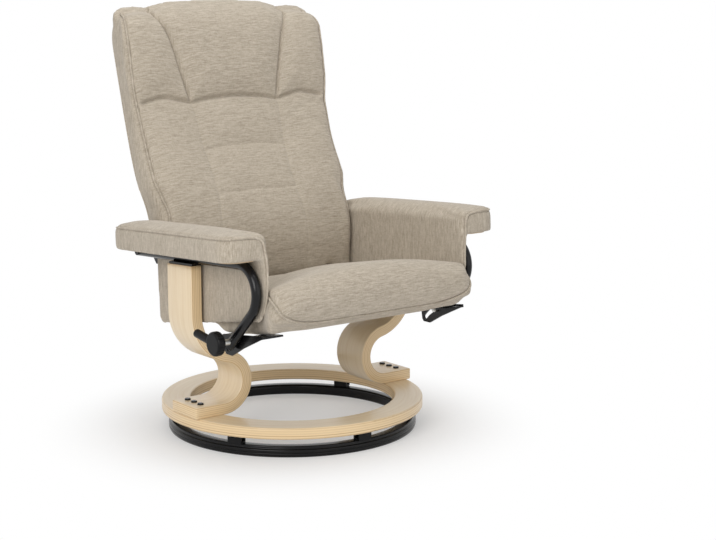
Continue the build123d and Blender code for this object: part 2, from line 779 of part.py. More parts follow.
reach = screw_radius + bracket_margin
bracket_face = yz_face(
    [
        (bracket_front, seat_bottom(bracket_front) + bracket_edge),
        (bracket_front, seat_bottom(bracket_front) - bracket_edge),
        (pivot[0] - reach - 4, pivot[1] - reach - 2),
        (slot_end[0] - reach, slot_end[1] - reach),
        (slot_end[0] + reach - 5, slot_end[1] - reach),
        (slot_end[0] + reach, slot_end[1] - reach + 6),
        (bracket_rear, seat_bottom(bracket_rear) + bracket_edge),
    ]
)
bracket_face -= slot
plate_outer = tube_inner + bracket_gap
plate_inner = plate_outer + bracket_thickness
seat_bracket = across(bracket_face, plate_outer, plate_inner)
flange_inner = -seat_frame_half_width + seat_frame_rail - 2
flange_width = flange_inner - plate_outer
flange_x = (flange_inner + plate_outer) / 2
tab_level = -bracket_thickness / 2
front_tab = Pos(flange_x, front_tab_y, tab_level) * Box(flange_width, front_tab_length, bracket_thickness)
rear_tab = Pos(flange_x, rear_tab_y, tab_level) * Box(flange_width, rear_tab_length, bracket_thickness)
seat_bracket += seat * front_tab
seat_bracket += seat * rear_tab
parts["seat_bracket_right"] = seat_bracket
parts["seat_bracket_left"] = other_side(seat_bracket)

# Hand wheel with its grip, the clamp screw, sleeve and nut; a plain bolt on the other side
wheel_inner = -wheel_centre_x + wheel_thickness / 2
wheel_outer = -wheel_centre_x - wheel_thickness / 2
wheel = Cylinder(wheel_radius, wheel_thickness)
wheel = fillet(wheel.edges(), 6)
for k in range(wheel_lobes):
    notch = Rot(0, 0, 360 / wheel_lobes * (k + 0.5)) * Pos(wheel_radius + 6 - wheel_lobe_depth, 0, 0)
    wheel -= notch * Cylinder(6, wheel_thickness + 2)
wheel = Pos(-wheel_centre_x, *pivot) * Rot(0, 90, 0) * wheel
grip_turn = Pos(-wheel_centre_x, *pivot) * Rot(grip_angle, 0, 0)
grip = Rot(-90, 0, 0) * Cylinder(grip_radius, grip_length - 10)
grip = fillet(grip.edges(), 3)
wheel += grip_turn * Pos(0, (grip_length + 10) / 2, 0) * grip
screw_head = wheel_outer + 8
wheel -= x_rod(screw_radius + bolt_clearance, screw_head, wheel_inner + 1, *pivot)
parts["lock_wheel"] = wheel
nut_outer = plate_inner + side_clearance
screw = x_rod(screw_radius, screw_head + 0.2, nut_outer + nut_thickness + 2, *pivot)
parts["clamp_screw"] = screw
sleeve = x_rod(sleeve_radius, wheel_inner + side_clearance, tube_outer - 0.3, *pivot)
sleeve -= x_rod(screw_radius + running_clearance, wheel_inner - 5, tube_outer + 5, *pivot)
parts["clamp_sleeve"] = sleeve
nut_hex = Plane.YZ.offset(nut_outer) * Pos(*pivot) * RegularPolygon(nut_radius, 6)
nut = extrude(nut_hex, nut_thickness)
nut -= x_rod(screw_radius + running_clearance, nut_outer - 5, nut_outer + nut_thickness + 5, *pivot)
parts["clamp_nut_right"] = nut
left_nut = extrude(nut_hex, nut_thickness)
left_nut -= x_rod(screw_radius + bolt_clearance, nut_outer - 5, nut_outer + nut_thickness + 5, *pivot)
parts["clamp_nut_left"] = other_side(left_nut)
left_bolt = x_rod(screw_radius, tube_outer - 4, nut_outer + nut_thickness + 2, *pivot)
left_bolt += x_rod(screw_radius + 4, tube_outer - 7, tube_outer - 0.2, *pivot)
parts["pivot_bolt_left"] = other_side(left_bolt)

os.makedirs("parts", exist_ok=True)
for name, shape in parts.items():
    export_step(shape, f"parts/{name}.step")
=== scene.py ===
import math

import bmesh
import bpy
import numpy as np
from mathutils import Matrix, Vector
from mathutils.bvhtree import BVHTree


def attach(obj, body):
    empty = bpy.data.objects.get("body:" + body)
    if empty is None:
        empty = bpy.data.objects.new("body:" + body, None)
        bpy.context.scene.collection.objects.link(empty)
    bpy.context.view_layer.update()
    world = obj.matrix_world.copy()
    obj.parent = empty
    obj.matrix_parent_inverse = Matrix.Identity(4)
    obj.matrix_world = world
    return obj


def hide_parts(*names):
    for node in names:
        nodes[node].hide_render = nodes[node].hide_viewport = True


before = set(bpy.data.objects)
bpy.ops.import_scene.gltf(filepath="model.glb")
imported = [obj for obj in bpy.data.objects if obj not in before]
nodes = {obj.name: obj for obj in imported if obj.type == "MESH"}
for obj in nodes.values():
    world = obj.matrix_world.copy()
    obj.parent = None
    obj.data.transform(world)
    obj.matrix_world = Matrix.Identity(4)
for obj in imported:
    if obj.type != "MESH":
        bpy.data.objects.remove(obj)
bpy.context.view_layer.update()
scene = bpy.context.scene

# Sizes shared with the CAD model, in metres and radians
LEG_Y = -0.014
LEG_HALF_THICKNESS = 0.0135
LEG_HALF_WIDTH = 0.051
LEG_UPRIGHT_X = -0.3045
LEG_UPPER_RADIUS = 0.1055
LEG_INNER_X = -0.160
LEG_LOWER_RADIUS = 0.060
LEG_FOOT_END = -0.312
LEG_TOP_DROP = 0.0149
TUBE_Z = 0.4335
ARM_TILT = math.radians(3.4)
RING_TOP = 0.072
RING_THICKNESS = 0.027
RING_MIDDLE_Z = 0.0585
SEAT_TILT = math.radians(7.5)
SEAT_ORIGIN_Y = -0.100
SEAT_ORIGIN_Z = 0.271

# Takes a point to the other side of the chair
OTHER_SIDE = np.array([-1.0, 1.0, 1.0])


# Shader helpers

def feed(tree, socket, value):
    if isinstance(value, bpy.types.NodeSocket):
        tree.links.new(value, socket)
    else:
        socket.default_value = value


def make(tree, kind, inputs=None, **settings):
    node = tree.nodes.new("ShaderNode" + kind)
    for key, value in settings.items():
        setattr(node, key, value)
    for key, value in (inputs or {}).items():
        feed(tree, node.inputs[key], value)
    return node


def calc(tree, operation, a, b=0.0):
    return make(tree, "Math", {0: a, 1: b}, operation=operation).outputs[0]


def times(tree, a, b):
    return calc(tree, "MULTIPLY", a, b)


def plus(tree, a, b):
    return calc(tree, "ADD", a, b)


def joined(tree, x, y, z):
    return make(tree, "CombineXYZ", {0: x, 1: y, 2: z}).outputs[0]


def parted(tree, vector):
    return make(tree, "SeparateXYZ", {0: vector}).outputs


def noise(tree, vector, scale, detail, rough):
    node = make(tree, "TexNoise", {"Vector": vector, "Scale": scale, "Detail": detail, "Roughness": rough})
    return node.outputs["Fac"]


def ramp(tree, value, stops):
    node = make(tree, "ValToRGB", {"Fac": value})
    elements = node.color_ramp.elements
    while len(elements) < len(stops):
        elements.new(0.5)
    for element, (at, colour) in zip(elements, stops):
        element.position = at
        element.color = (*colour, 1.0)
    return node.outputs["Color"]


# Numbers of the sockets that a mix node uses for colours
MIX_FACTOR, MIX_A, MIX_B, MIX_RESULT = 0, 6, 7, 2


def mixed(tree, factor, a, b):
    sockets = {MIX_FACTOR: factor, MIX_A: a, MIX_B: (*b, 1.0)}
    return make(tree, "Mix", sockets, data_type="RGBA").outputs[MIX_RESULT]


def mapped(tree, value, from_range=(0.0, 1.0), to_range=(0.0, 1.0), **settings):
    inputs = {"Value": value}
    inputs["From Min"], inputs["From Max"] = from_range
    inputs["To Min"], inputs["To Max"] = to_range
    return make(tree, "MapRange", inputs, **settings).outputs["Result"]


def spread(tree, value, low, high):
    return mapped(tree, value, to_range=(low, high))


def bump(tree, height, strength, distance):
    node = make(tree, "Bump", {"Height": height, "Strength": strength, "Distance": distance})
    return node.outputs["Normal"]


def shown_directly(tree):
    # Camera, mirror and see-through rays, which meet the white background
    rays = make(tree, "LightPath").outputs
    bounced = calc(tree, "MAXIMUM", rays["Is Glossy Ray"], rays["Is Transmission Ray"])
    return calc(tree, "MAXIMUM", rays["Is Camera Ray"], bounced)


def new_material(name):
    material = bpy.data.materials.new(name)
    material.use_nodes = True
    tree = material.node_tree
    shader = tree.nodes["Principled BSDF"]
    place = make(tree, "TexCoord").outputs["Object"]
    return material, tree, shader, place


def paint(shader, **values):
    for key, value in values.items():
        shader.inputs[key.replace("_", " ")].default_value = value


# Cloth

YARN_SHADES = (
    (0.36, (0.300, 0.256, 0.198)),
    (0.50, (0.438, 0.381, 0.306)),
    (0.64, (0.575, 0.518, 0.432)),
)
FADED_CLOTH = (0.50, 0.44, 0.36)
THICK_YARN = {"pitch": 0.0017, "length": 0.022, "seed": 0.3, "share": 0.50}
THIN_YARN = {"pitch": 0.0010, "length": 0.009, "seed": 4.7, "share": 0.28}
CROSS_YARN = {"pitch": 0.0013, "length": 0.009, "seed": 9.1, "share": 0.22}
WARP_PITCH = 0.0020
WEFT_PITCH = 0.0023
ROW_SHIFT = 7.31


def yarn(tree, along, across, pitch, length, seed, share):
    # Rows of yarn, each with its own thick and thin stretches
    row = calc(tree, "FLOOR", calc(tree, "DIVIDE", across, pitch))
    place = joined(tree, calc(tree, "DIVIDE", along, length), times(tree, row, ROW_SHIFT), seed)
    return times(tree, noise(tree, place, scale=1.0, detail=3.0, rough=0.55), share)


def fabric(name, yarns):
    # Loose plain weave; the thick yarns run along X on "across" and "rear" cloth, upright on faces that
    # look sideways on "upright" cloth and upright on faces that look forwards on "ends" cloth
    material, tree, shader, place = new_material(name)
    x, y, z = parted(tree, place)
    along, across = {
        "across": (x, plus(tree, y, z)),
        "rear": (x, calc(tree, "SUBTRACT", z, y)),
        "upright": (plus(tree, x, z), y),
        "ends": (plus(tree, y, z), x),
    }[yarns]
    thick = yarn(tree, along, across, **THICK_YARN)
    thin = yarn(tree, along, across, **THIN_YARN)
    cross = yarn(tree, across, along, **CROSS_YARN)
    value = plus(tree, plus(tree, thick, thin), cross)
    cloud = noise(tree, place, scale=7.0, detail=2.0, rough=0.5)
    colour = mixed(tree, spread(tree, cloud, 0.0, 0.18), ramp(tree, value, YARN_SHADES), FADED_CLOTH)
    feed(tree, shader.inputs["Base Color"], colour)
    warp = calc(tree, "SINE", times(tree, along, 2.0 * math.pi / WARP_PITCH))
    weft = calc(tree, "SINE", times(tree, across, 2.0 * math.pi / WEFT_PITCH))
    weave = times(tree, warp, weft)
    height = plus(tree, times(tree, value, 1.2), times(tree, weave, 0.25))
    feed(tree, shader.inputs["Normal"], bump(tree, height, strength=0.35, distance=0.0010))
    paint(shader, Roughness=0.93, Specular_IOR_Level=0.18, Sheen_Weight=0.22, Sheen_Roughness=0.55)
    return material


# Wood

BIRCH = {"light": (0.82, 0.685, 0.49), "dark": (0.73, 0.57, 0.36), "line": (0.42, 0.24, 0.09)}
PLY = {"light": (0.62, 0.48, 0.31), "dark": (0.50, 0.36, 0.21), "line": (0.34, 0.22, 0.12)}
EDGE_GOLD = (0.84, 0.60, 0.30)
GRAIN_ALONG, GRAIN_ACROSS, GRAIN_THROUGH = 5.0, 130.0, 390.0
PORE_ALONG, PORE_ACROSS = 45.0, 900.0
RING_GRAIN_RADIUS = 0.28
BOARD_LAYERS = 14.0


def wood(name, source, plies, thickness, light, dark, line):
    # Pale laminated wood: grain along the strip, golden edges with glue lines
    material, tree, shader, place = new_material(name)
    along, across, through = source(tree, place)
    streak = joined(
        tree,
        times(tree, along, GRAIN_ALONG),
        times(tree, across, GRAIN_ACROSS),
        times(tree, through, GRAIN_THROUGH * thickness),
    )
    pore = joined(
        tree,
        times(tree, along, PORE_ALONG),
        times(tree, across, PORE_ACROSS),
        times(tree, through, PORE_ACROSS * thickness),
    )
    grain = noise(tree, streak, scale=1.0, detail=5.0, rough=0.6)
    fleck = noise(tree, pore, scale=1.0, detail=2.0, rough=0.5)
    cloud = noise(tree, place, scale=5.0, detail=2.0, rough=0.5)
    bright = tuple(min(1.0, c * 1.06) for c in light)
    colour = ramp(tree, grain, [(0.25, dark), (0.55, light), (0.8, bright)])
    colour = mixed(tree, spread(tree, fleck, 0.0, 0.25), colour, dark)
    colour = mixed(tree, spread(tree, cloud, 0.0, 0.2), colour, dark)
    edge = mapped(tree, calc(tree, "ABSOLUTE", through), (0.49, 0.44), (0.0, 0.45))
    colour = mixed(tree, edge, colour, EDGE_GOLD)
    turn = times(tree, plus(tree, through, 0.5), plies * 2.0 * math.pi)
    band = mapped(tree, calc(tree, "COSINE", turn), (0.2, -0.9))
    layer = joined(tree, times(tree, through, plies * 0.9), 0.37, 0.11)
    uneven = mapped(tree, noise(tree, layer, scale=1.0, detail=1.0, rough=0.5), (0.3, 0.7))
    depth = times(tree, band, plus(tree, times(tree, uneven, 0.62), 0.06))
    feed(tree, shader.inputs["Base Color"], mixed(tree, depth, colour, line))
    feed(tree, shader.inputs["Roughness"], spread(tree, grain, 0.42, 0.32))
    height = calc(tree, "SUBTRACT", times(tree, fleck, 0.5), times(tree, depth, 0.6))
    feed(tree, shader.inputs["Normal"], bump(tree, height, strength=0.12, distance=0.0006))
    paint(shader, Coat_Weight=0.32, Coat_Roughness=0.2, Specular_IOR_Level=0.4)
    return material


def from_strip(tree, place):
    # Places along, across and through a leg, stored with its mesh
    return tuple(parted(tree, make(tree, "Attribute", attribute_name="strip").outputs["Vector"]))


def from_ring(tree, place):
    x, y, z = parted(tree, place)
    angle = calc(tree, "ARCTAN2", y, x)
    reach = calc(tree, "SQRT", plus(tree, times(tree, x, x), times(tree, y, y)))
    level = calc(tree, "DIVIDE", calc(tree, "SUBTRACT", z, RING_MIDDLE_Z), RING_THICKNESS)
    return times(tree, angle, RING_GRAIN_RADIUS), reach, level


def from_board(tree, place):
    x, y, z = parted(tree, place)
    return x, y, times(tree, z, BOARD_LAYERS)


# Coats, moulded plastics and plated steel

def coated(name, base, rough, grain, strength, coat=0.0):
    material, tree, shader, place = new_material(name)
    pits = noise(tree, place, scale=grain, detail=3.0, rough=0.6)
    smudge = noise(tree, place, scale=16.0, detail=3.0, rough=0.6)
    shades = [(0.3, tuple(c * 0.75 for c in base)), (0.7, tuple(c * 1.35 for c in base))]
    feed(tree, shader.inputs["Base Color"], ramp(tree, smudge, shades))
    feed(tree, shader.inputs["Roughness"], spread(tree, smudge, rough - 0.07, rough + 0.09))
    feed(tree, shader.inputs["Normal"], bump(tree, pits, strength, distance=0.0005))
    paint(shader, Coat_Weight=coat, Coat_Roughness=0.2, Specular_IOR_Level=0.16)
    return material


def plated(name, low, high):
    material, tree, shader, place = new_material(name)
    drawn_out = make(tree, "Mapping", {"Vector": place, "Scale": (60.0, 900.0, 900.0)}).outputs[0]
    brushed = noise(tree, drawn_out, scale=1.0, detail=3.0, rough=0.6)
    spot = noise(tree, place, scale=60.0, detail=3.0, rough=0.6)
    feed(tree, shader.inputs["Base Color"], ramp(tree, spot, [(0.3, low), (0.7, high)]))
    feed(tree, shader.inputs["Roughness"], spread(tree, brushed, 0.24, 0.42))
    feed(tree, shader.inputs["Normal"], bump(tree, brushed, strength=0.12, distance=0.0003))
    paint(shader, Metallic=1.0)
    return material


CLOTH_ACROSS = fabric("cloth_across", "across")
CLOTH_UPRIGHT = fabric("cloth_upright", "upright")
CLOTH_ENDS = fabric("cloth_ends", "ends")
CLOTH_REAR = fabric("cloth_rear", "rear")
BROAD_CLOTHS = (CLOTH_ACROSS, CLOTH_UPRIGHT, CLOTH_ACROSS, CLOTH_REAR)
ARM_CLOTHS = (CLOTH_UPRIGHT, CLOTH_UPRIGHT, CLOTH_ENDS, CLOTH_ENDS)
BIRCH_STRIP = wood("birch_strip", from_strip, plies=6, thickness=2 * LEG_HALF_THICKNESS, **BIRCH)
BIRCH_RING = wood("birch_ring", from_ring, plies=5, thickness=RING_THICKNESS, **BIRCH)
PLYWOOD = wood("plywood", from_board, plies=1, thickness=0.012, **PLY)
STEEL = coated("powder_coat", (0.0045, 0.0045, 0.0052), rough=0.22, grain=1400.0, strength=0.08, coat=0.20)
MOULDED = coated("moulded_plastic", (0.0055, 0.0055, 0.006), rough=0.40, grain=2200.0, strength=0.16)
RING_BLACK = coated("ring_black", (0.0035, 0.0035, 0.004), rough=0.20, grain=1200.0, strength=0.06, coat=0.14)
NYLON = coated("nylon", (0.26, 0.26, 0.25), rough=0.5, grain=1800.0, strength=0.08)
ZINC = plated("zinc", low=(0.50, 0.50, 0.48), high=(0.68, 0.68, 0.66))
BLACK_ZINC = plated("black_zinc", low=(0.035, 0.035, 0.038), high=(0.060, 0.060, 0.064))


# Mesh helpers

def new_object(name, data):
    obj = bpy.data.objects.new(name, data)
    scene.collection.objects.link(obj)
    return obj


def mesh_object(name, verts, faces, material):
    mesh = bpy.data.meshes.new(name)
    mesh.from_pydata([tuple(v) for v in verts], [], faces)
    mesh.materials.append(material)
    mesh.shade_smooth()
    mesh.update()
    return new_object(name, mesh)


def read_rows(items, key, width, kind=np.float64):
    values = np.empty(len(items) * width, kind)
    items.foreach_get(key, values)
    return values.reshape(-1, width)


def coords(obj):
    return read_rows(obj.data.vertices, "co", 3)


def normals(obj):
    return read_rows(obj.data.vertices, "normal", 3)


def set_coords(obj, values):
    obj.data.vertices.foreach_set("co", np.ascontiguousarray(values, np.float32).ravel())
    obj.data.update()


SMOOTH, SMOOTH_BACK = 0.5, 0.52
LIGHT, LIGHT_BACK = 0.4, 0.42


def relax(obj, rounds, share, back_share=0.0, weight=1.0):
    # Moves each point towards its neighbours, then back by back_share so that the body keeps its volume
    pairs = read_rows(obj.data.edges, "vertices", 2, np.int64)
    values = coords(obj)
    count = len(values)
    degree = np.bincount(pairs.ravel(), minlength=count)[:, None]
    for move in (share, -back_share) * rounds:
        if move == 0.0:
            continue
        total = np.empty_like(values)
        for axis in range(3):
            column = values[:, axis]
            total[:, axis] = np.bincount(pairs[:, 0], column[pairs[:, 1]], count)
            total[:, axis] += np.bincount(pairs[:, 1], column[pairs[:, 0]], count)
        values = values + move * weight * (total / degree - values)
    set_coords(obj, values)


def with_modifiers(obj):
    # Puts the result of the object's modifiers in place of its mesh
    graph = bpy.context.evaluated_depsgraph_get()
    made = bpy.data.meshes.new_from_object(obj.evaluated_get(graph))
    obj.modifiers.clear()
    obj.data = made


def remeshed(name, sources, voxel, keep_above=None):
    # One closed skin round copies of CAD solids; each source is (node, shift)
    bm = bmesh.new()
    for node, shift in sources:
        before = len(bm.verts)
        bm.from_mesh(nodes[node].data)
        bm.verts.ensure_lookup_table()
        bmesh.ops.translate(bm, verts=bm.verts[before:], vec=shift)
    bmesh.ops.remove_doubles(bm, verts=bm.verts[:], dist=1e-6)
    if keep_above is not None:
        cut = {"plane_co": (0, 0, keep_above), "plane_no": (0, 0, 1), "clear_inner": True}
        bmesh.ops.bisect_plane(bm, geom=bm.verts[:] + bm.edges[:] + bm.faces[:], **cut)
        bmesh.ops.holes_fill(bm, edges=[e for e in bm.edges if e.is_boundary])
    mesh = bpy.data.meshes.new(name)
    bm.to_mesh(mesh)
    bm.free()
    obj = new_object(name, mesh)
    modifier = obj.modifiers.new("remesh", "REMESH")
    modifier.mode = "VOXEL"
    modifier.voxel_size = voxel
    with_modifiers(obj)
    obj.data.materials.clear()
    return obj


def refined(obj):
    # One Catmull-Clark step, applied
    modifier = obj.modifiers.new("refine", "SUBSURF")
    modifier.levels = 1
    modifier.render_levels = 1
    with_modifiers(obj)


INFLATE_FRAMES = 16
CLOTH_SETTINGS = {
    "quality": 4,
    "mass": 0.3,
    "tension_stiffness": 12.0,
    "compression_stiffness": 12.0,
    "shear_stiffness": 6.0,
    "bending_stiffness": 0.6,
    "use_pressure": True,
    "vertex_group_mass": "pins",
    "pin_stiffness": 1.0,
}


def pinned(*rules):
    # Each rule is (where, weight); a point takes its greatest weight
    return np.max([np.where(where, weight, 0.0) for where, weight in rules], axis=0)


def inflate(obj, pins, pressure, cap):
    # Blender cloth under air pressure, held at the pinned points, with its movement capped
    start = coords(obj)
    group = obj.vertex_groups.new(name="pins")
    for weight in np.unique(np.round(pins, 1)):
        if weight > 0:
            chosen = np.nonzero(np.round(pins, 1) == weight)[0]
            group.add([int(i) for i in chosen], float(weight), "REPLACE")
    cloth = obj.modifiers.new("cloth", "CLOTH")
    for key, value in CLOTH_SETTINGS.items():
        setattr(cloth.settings, key, value)
    cloth.settings.uniform_pressure_force = pressure
    cloth.settings.effector_weights.gravity = 0.0
    cloth.collision_settings.use_collision = False
    cloth.point_cache.frame_start = 1
    cloth.point_cache.frame_end = INFLATE_FRAMES
    for number in range(1, INFLATE_FRAMES + 1):
        scene.frame_set(number)
    graph = bpy.context.evaluated_depsgraph_get()
    moved = coords(obj.evaluated_get(graph))
    obj.modifiers.clear()
    obj.vertex_groups.clear()
    scene.frame_set(1)
    step = moved - start
    length = np.maximum(np.linalg.norm(step, axis=1, keepdims=True), 1e-9)
    limit = cap * np.tanh(length / cap)
    set_coords(obj, start + step / length * limit)


def ease(value, start, end):
    # Smooth step from 0 at start to 1 at end, which may be the smaller of the two
    t = np.clip((value - start) / (end - start), 0.0, 1.0)
    return t * t * (3.0 - 2.0 * t)


def bell(distance, width):
    return np.exp(-((distance / width) ** 2))


def distance_to(points, line):
    # Least distance of each point from a polyline
    best = np.full(len(points), 1e9)
    for a, b in zip(line[:-1], line[1:]):
        run = b - a
        t = np.clip(((points - a) @ run) / max(run @ run, 1e-12), 0.0, 1.0)
        best = np.minimum(best, np.linalg.norm(points - a - t[:, None] * run, axis=1))
    return best


def distance_to_any(points, lines):
    return np.min([distance_to(points, line) for line in lines], axis=0)


def smooth_line(points, steps=10):
    # Catmull-Rom points along a line through the given points
    points = np.array(points, float)
    extended = np.vstack([2 * points[0] - points[1], points, 2 * points[-1] - points[-2]])
    out = []
    for i in range(len(points) - 1):
        p0, p1, p2, p3 = extended[i:i + 4]
        for k in range(steps):
            t = k / steps
            second = (2 * p0 - 5 * p1 + 4 * p2 - p3) * t * t
            third = (3 * p1 - p0 - 3 * p2 + p3) * t ** 3
            out.append(0.5 * (2 * p1 + (p2 - p0) * t + second + third))
    out.append(points[-1])
    return np.array(out)


def both_halves(line):
    # A line that ends on the middle plane, carried on to the other side
    return np.vstack([line, (line * OTHER_SIDE)[::-1][1:]])


EVENING_ROUNDS = 4


def evened(line):
    line = np.array(line)
    for _ in range(EVENING_ROUNDS):
        line[1:-1] = 0.25 * line[:-2] + 0.5 * line[1:-1] + 0.25 * line[2:]
    return line


def surface_of(obj):
    points = [v.co.copy() for v in obj.data.vertices]
    faces = [tuple(p.vertices) for p in obj.data.polygons]
    return BVHTree.FromPolygons(points, faces)


def laid_on(surface, line, lift=0.0):
    placed = []
    for point in line:
        hit, normal, _, _ = surface.find_nearest(Vector(point))
        placed.append(np.array(hit + normal * lift))
    return evened(placed)


WRAP_START = 0.6
WRAP_LIMIT = 0.048


def wrapped_on(surface, line, centre_y):
    # Moves a line round a body level to the first surface met from outside, or else to the nearest point
    placed = []
    for x, y, z in line:
        away = Vector((x, y - centre_y, 0.0)).normalized()
        start = Vector((0.0, centre_y, z)) + away * WRAP_START
        point = Vector((x, y, z))
        met = surface.ray_cast(start, -away)[0]
        if met is None or (met - point).length > WRAP_LIMIT:
            met = surface.find_nearest(point)[0]
        placed.append(np.array(met))
    return evened(placed)


def groove(obj, lines, depth, width):
    at = coords(obj)
    sunk = depth * bell(distance_to_any(at, lines), width)
    set_coords(obj, at - normals(obj) * sunk[:, None])


END_TAPER = 0.35


def cord_tube(name, line, radius, material, sides=10):
    # A round tube along a line, closed at both ends
    count = len(line)
    tangents = np.gradient(line, axis=0)
    tangents /= np.linalg.norm(tangents, axis=1, keepdims=True)
    up = np.array([0.0, 0.0, 1.0]) if abs(tangents[0][2]) < 0.9 else np.array([1.0, 0.0, 0.0])
    normal = np.cross(tangents[0], up)
    verts = []
    for i in range(count):
        normal = normal - tangents[i] * (normal @ tangents[i])
        normal /= np.linalg.norm(normal)
        side = np.cross(tangents[i], normal)
        size = radius * (END_TAPER if i in (0, count - 1) else 1.0)
        for k in range(sides):
            angle = 2 * math.pi * k / sides
            verts.append(line[i] + size * (math.cos(angle) * normal + math.sin(angle) * side))
    faces = []
    for i in range(count - 1):
        for k in range(sides):
            n = (k + 1) % sides
            faces.append((i * sides + k, i * sides + n, (i + 1) * sides + n, (i + 1) * sides + k))
    faces.append(tuple(reversed(range(sides))))
    faces.append(tuple(range((count - 1) * sides, count * sides)))
    return mesh_object(name, verts, faces, material)


def welt(name, line, body, material, radius):
    # A cord sewn into a seam
    tube = cord_tube(name, line, radius, material)
    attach(tube, body)


LEVEL, SIDEWAYS, FORWARDS, BACKWARDS = range(4)


def finished(obj, cloths, body, replaced):
    # The cloths are for faces that look up or down, sideways, forwards and backwards
    mesh = obj.data
    mesh.materials.clear()
    for cloth in cloths:
        mesh.materials.append(cloth)
    nx, ny, nz = read_rows(mesh.polygons, "normal", 3, np.float32).T
    index = np.where(ny < -0.72, FORWARDS, np.where(ny > 0.45, BACKWARDS, LEVEL))
    if cloths is BROAD_CLOTHS:
        # Rows of the across cloth run out on lips that look forwards and down, so these take the rear cloth
        index = np.where((ny < 0.0) & (ny * nz > 0.22), BACKWARDS, index)
    index = np.where(np.abs(nx) > 0.72, SIDEWAYS, index)
    mesh.polygons.foreach_set("material_index", index.astype(np.int32))
    mesh.shade_smooth()
    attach(obj, body)
    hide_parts(*replaced)


# Legs: bent strips with rounded edges, swept along the same path as the CAD legs

LEG_ROUND_OFF = 0.0028


def arc(centre_x, centre_z, radius, angles):
    return [(centre_x + radius * math.cos(a), centre_z + radius * math.sin(a)) for a in angles]


def leg_path():
    upper, lower = LEG_UPPER_RADIUS, LEG_LOWER_RADIUS
    upper_x = LEG_UPRIGHT_X + upper
    lower_x = LEG_INNER_X - lower - LEG_HALF_THICKNESS
    foot_z = RING_TOP + LEG_HALF_THICKNESS
    lower_z = foot_z + lower
    upper_z = lower_z + math.sqrt((upper + lower) ** 2 - (upper_x - lower_x) ** 2)
    swing = math.atan2(upper_z - lower_z, upper_x - lower_x)
    line = [(LEG_UPRIGHT_X, z) for z in np.linspace(TUBE_Z - LEG_TOP_DROP, upper_z, 12)[:-1]]
    line += arc(upper_x, upper_z, upper, np.linspace(math.pi, math.pi + swing, 28))
    line += arc(lower_x, lower_z, lower, np.linspace(swing, -math.pi / 2, 36)[1:])
    line += [(x, foot_z) for x in np.linspace(lower_x, LEG_FOOT_END, 8)[1:]]
    return np.array(line)


def leg_section():
    # Points round the strip's section: through its thickness and across its width
    section = []
    for cx, cy, first in ((1, 1, 0), (-1, 1, 90), (-1, -1, 180), (1, -1, 270)):
        t = cx * (LEG_HALF_THICKNESS - LEG_ROUND_OFF)
        w = cy * (LEG_HALF_WIDTH - LEG_ROUND_OFF)
        for k in range(5):
            a = math.radians(first + 22.5 * k)
            section.append((t + LEG_ROUND_OFF * math.cos(a), w + LEG_ROUND_OFF * math.sin(a)))
    return np.array(section)


def leg(side, sign):
    line = leg_path()
    section = leg_section()
    tangents = np.gradient(line, axis=0)
    tangents /= np.linalg.norm(tangents, axis=1, keepdims=True)
    lengths = np.concatenate([[0], np.cumsum(np.linalg.norm(np.diff(line, axis=0), axis=1))])
    rings = [(line[i], tangents[i], lengths[i], 0.0) for i in range(len(line) - 1)]
    end, out, full = line[-1], tangents[-1], lengths[-1]
    rings.append((end - out * LEG_ROUND_OFF, out, full - LEG_ROUND_OFF, 0.0))
    rings.append((end - out * LEG_ROUND_OFF * 0.3, out, full, LEG_ROUND_OFF * 0.3))
    rings.append((end, out, full, LEG_ROUND_OFF))
    verts, strip, faces = [], [], []
    for number, (point, tangent, length, inset) in enumerate(rings):
        normal = np.array([-tangent[1], tangent[0]])
        for t, w in section:
            t -= math.copysign(min(inset, abs(t)), t)
            w -= math.copysign(min(inset, abs(w)), w)
            x, z = point + normal * t
            if number == 0:
                z -= w * math.tan(ARM_TILT)
            verts.append((x * sign, LEG_Y + w, z))
            strip.append((length, w, t / (2 * LEG_HALF_THICKNESS)))
    n = len(section)
    for i in range(len(rings) - 1):
        for k in range(n):
            j = (k + 1) % n
            quad = (i * n + k, i * n + j, (i + 1) * n + j, (i + 1) * n + k)
            faces.append(quad if sign < 0 else tuple(reversed(quad)))
    faces.append(tuple(range(n)))
    faces.append(tuple(range((len(rings) - 1) * n, len(rings) * n)))
    obj = mesh_object(f"leg_strip_{side}", verts, faces, BIRCH_STRIP)
    attribute = obj.data.attributes.new("strip", "FLOAT_VECTOR", "POINT")
    attribute.data.foreach_set("vector", np.array(strip, np.float32).ravel())
    bm = bmesh.new()
    bm.from_mesh(obj.data)
    bmesh.ops.recalc_face_normals(bm, faces=bm.faces[:])
    bm.to_mesh(obj.data)
    bm.free()
    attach(obj, "carriage")
    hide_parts(f"leg_{side}")


leg("right", 1)
leg("left", -1)


# Floor ring: a turned profile with a fine groove and a step on its outer face

def lathe(name, profile, material, segments=240):
    verts, faces = [], []
    count = len(profile)
    for i in range(segments):
        a = 2 * math.pi * i / segments
        verts += [(r * math.cos(a), r * math.sin(a), z) for r, z in profile]
    for i in range(segments):
        j = (i + 1) % segments
        for k in range(count):
            n = (k + 1) % count
            faces.append((i * count + k, j * count + k, j * count + n, i * count + n))
    return mesh_object(name, verts, faces, material)


def rounded(corners, steps=4):
    # Outline with its corners rounded; each corner is (r, z, radius)
    out = []
    count = len(corners)
    for i in range(count):
        here = np.array(corners[i][:2])
        before = np.array(corners[i - 1][:2]) - here
        after = np.array(corners[(i + 1) % count][:2]) - here
        size = corners[i][2]
        a = here + before / np.linalg.norm(before) * size
        b = here + after / np.linalg.norm(after) * size
        for k in range(steps + 1):
            t = k / steps
            out.append(tuple((1 - t) ** 2 * a + 2 * t * (1 - t) * here + t * t * b))
    return out


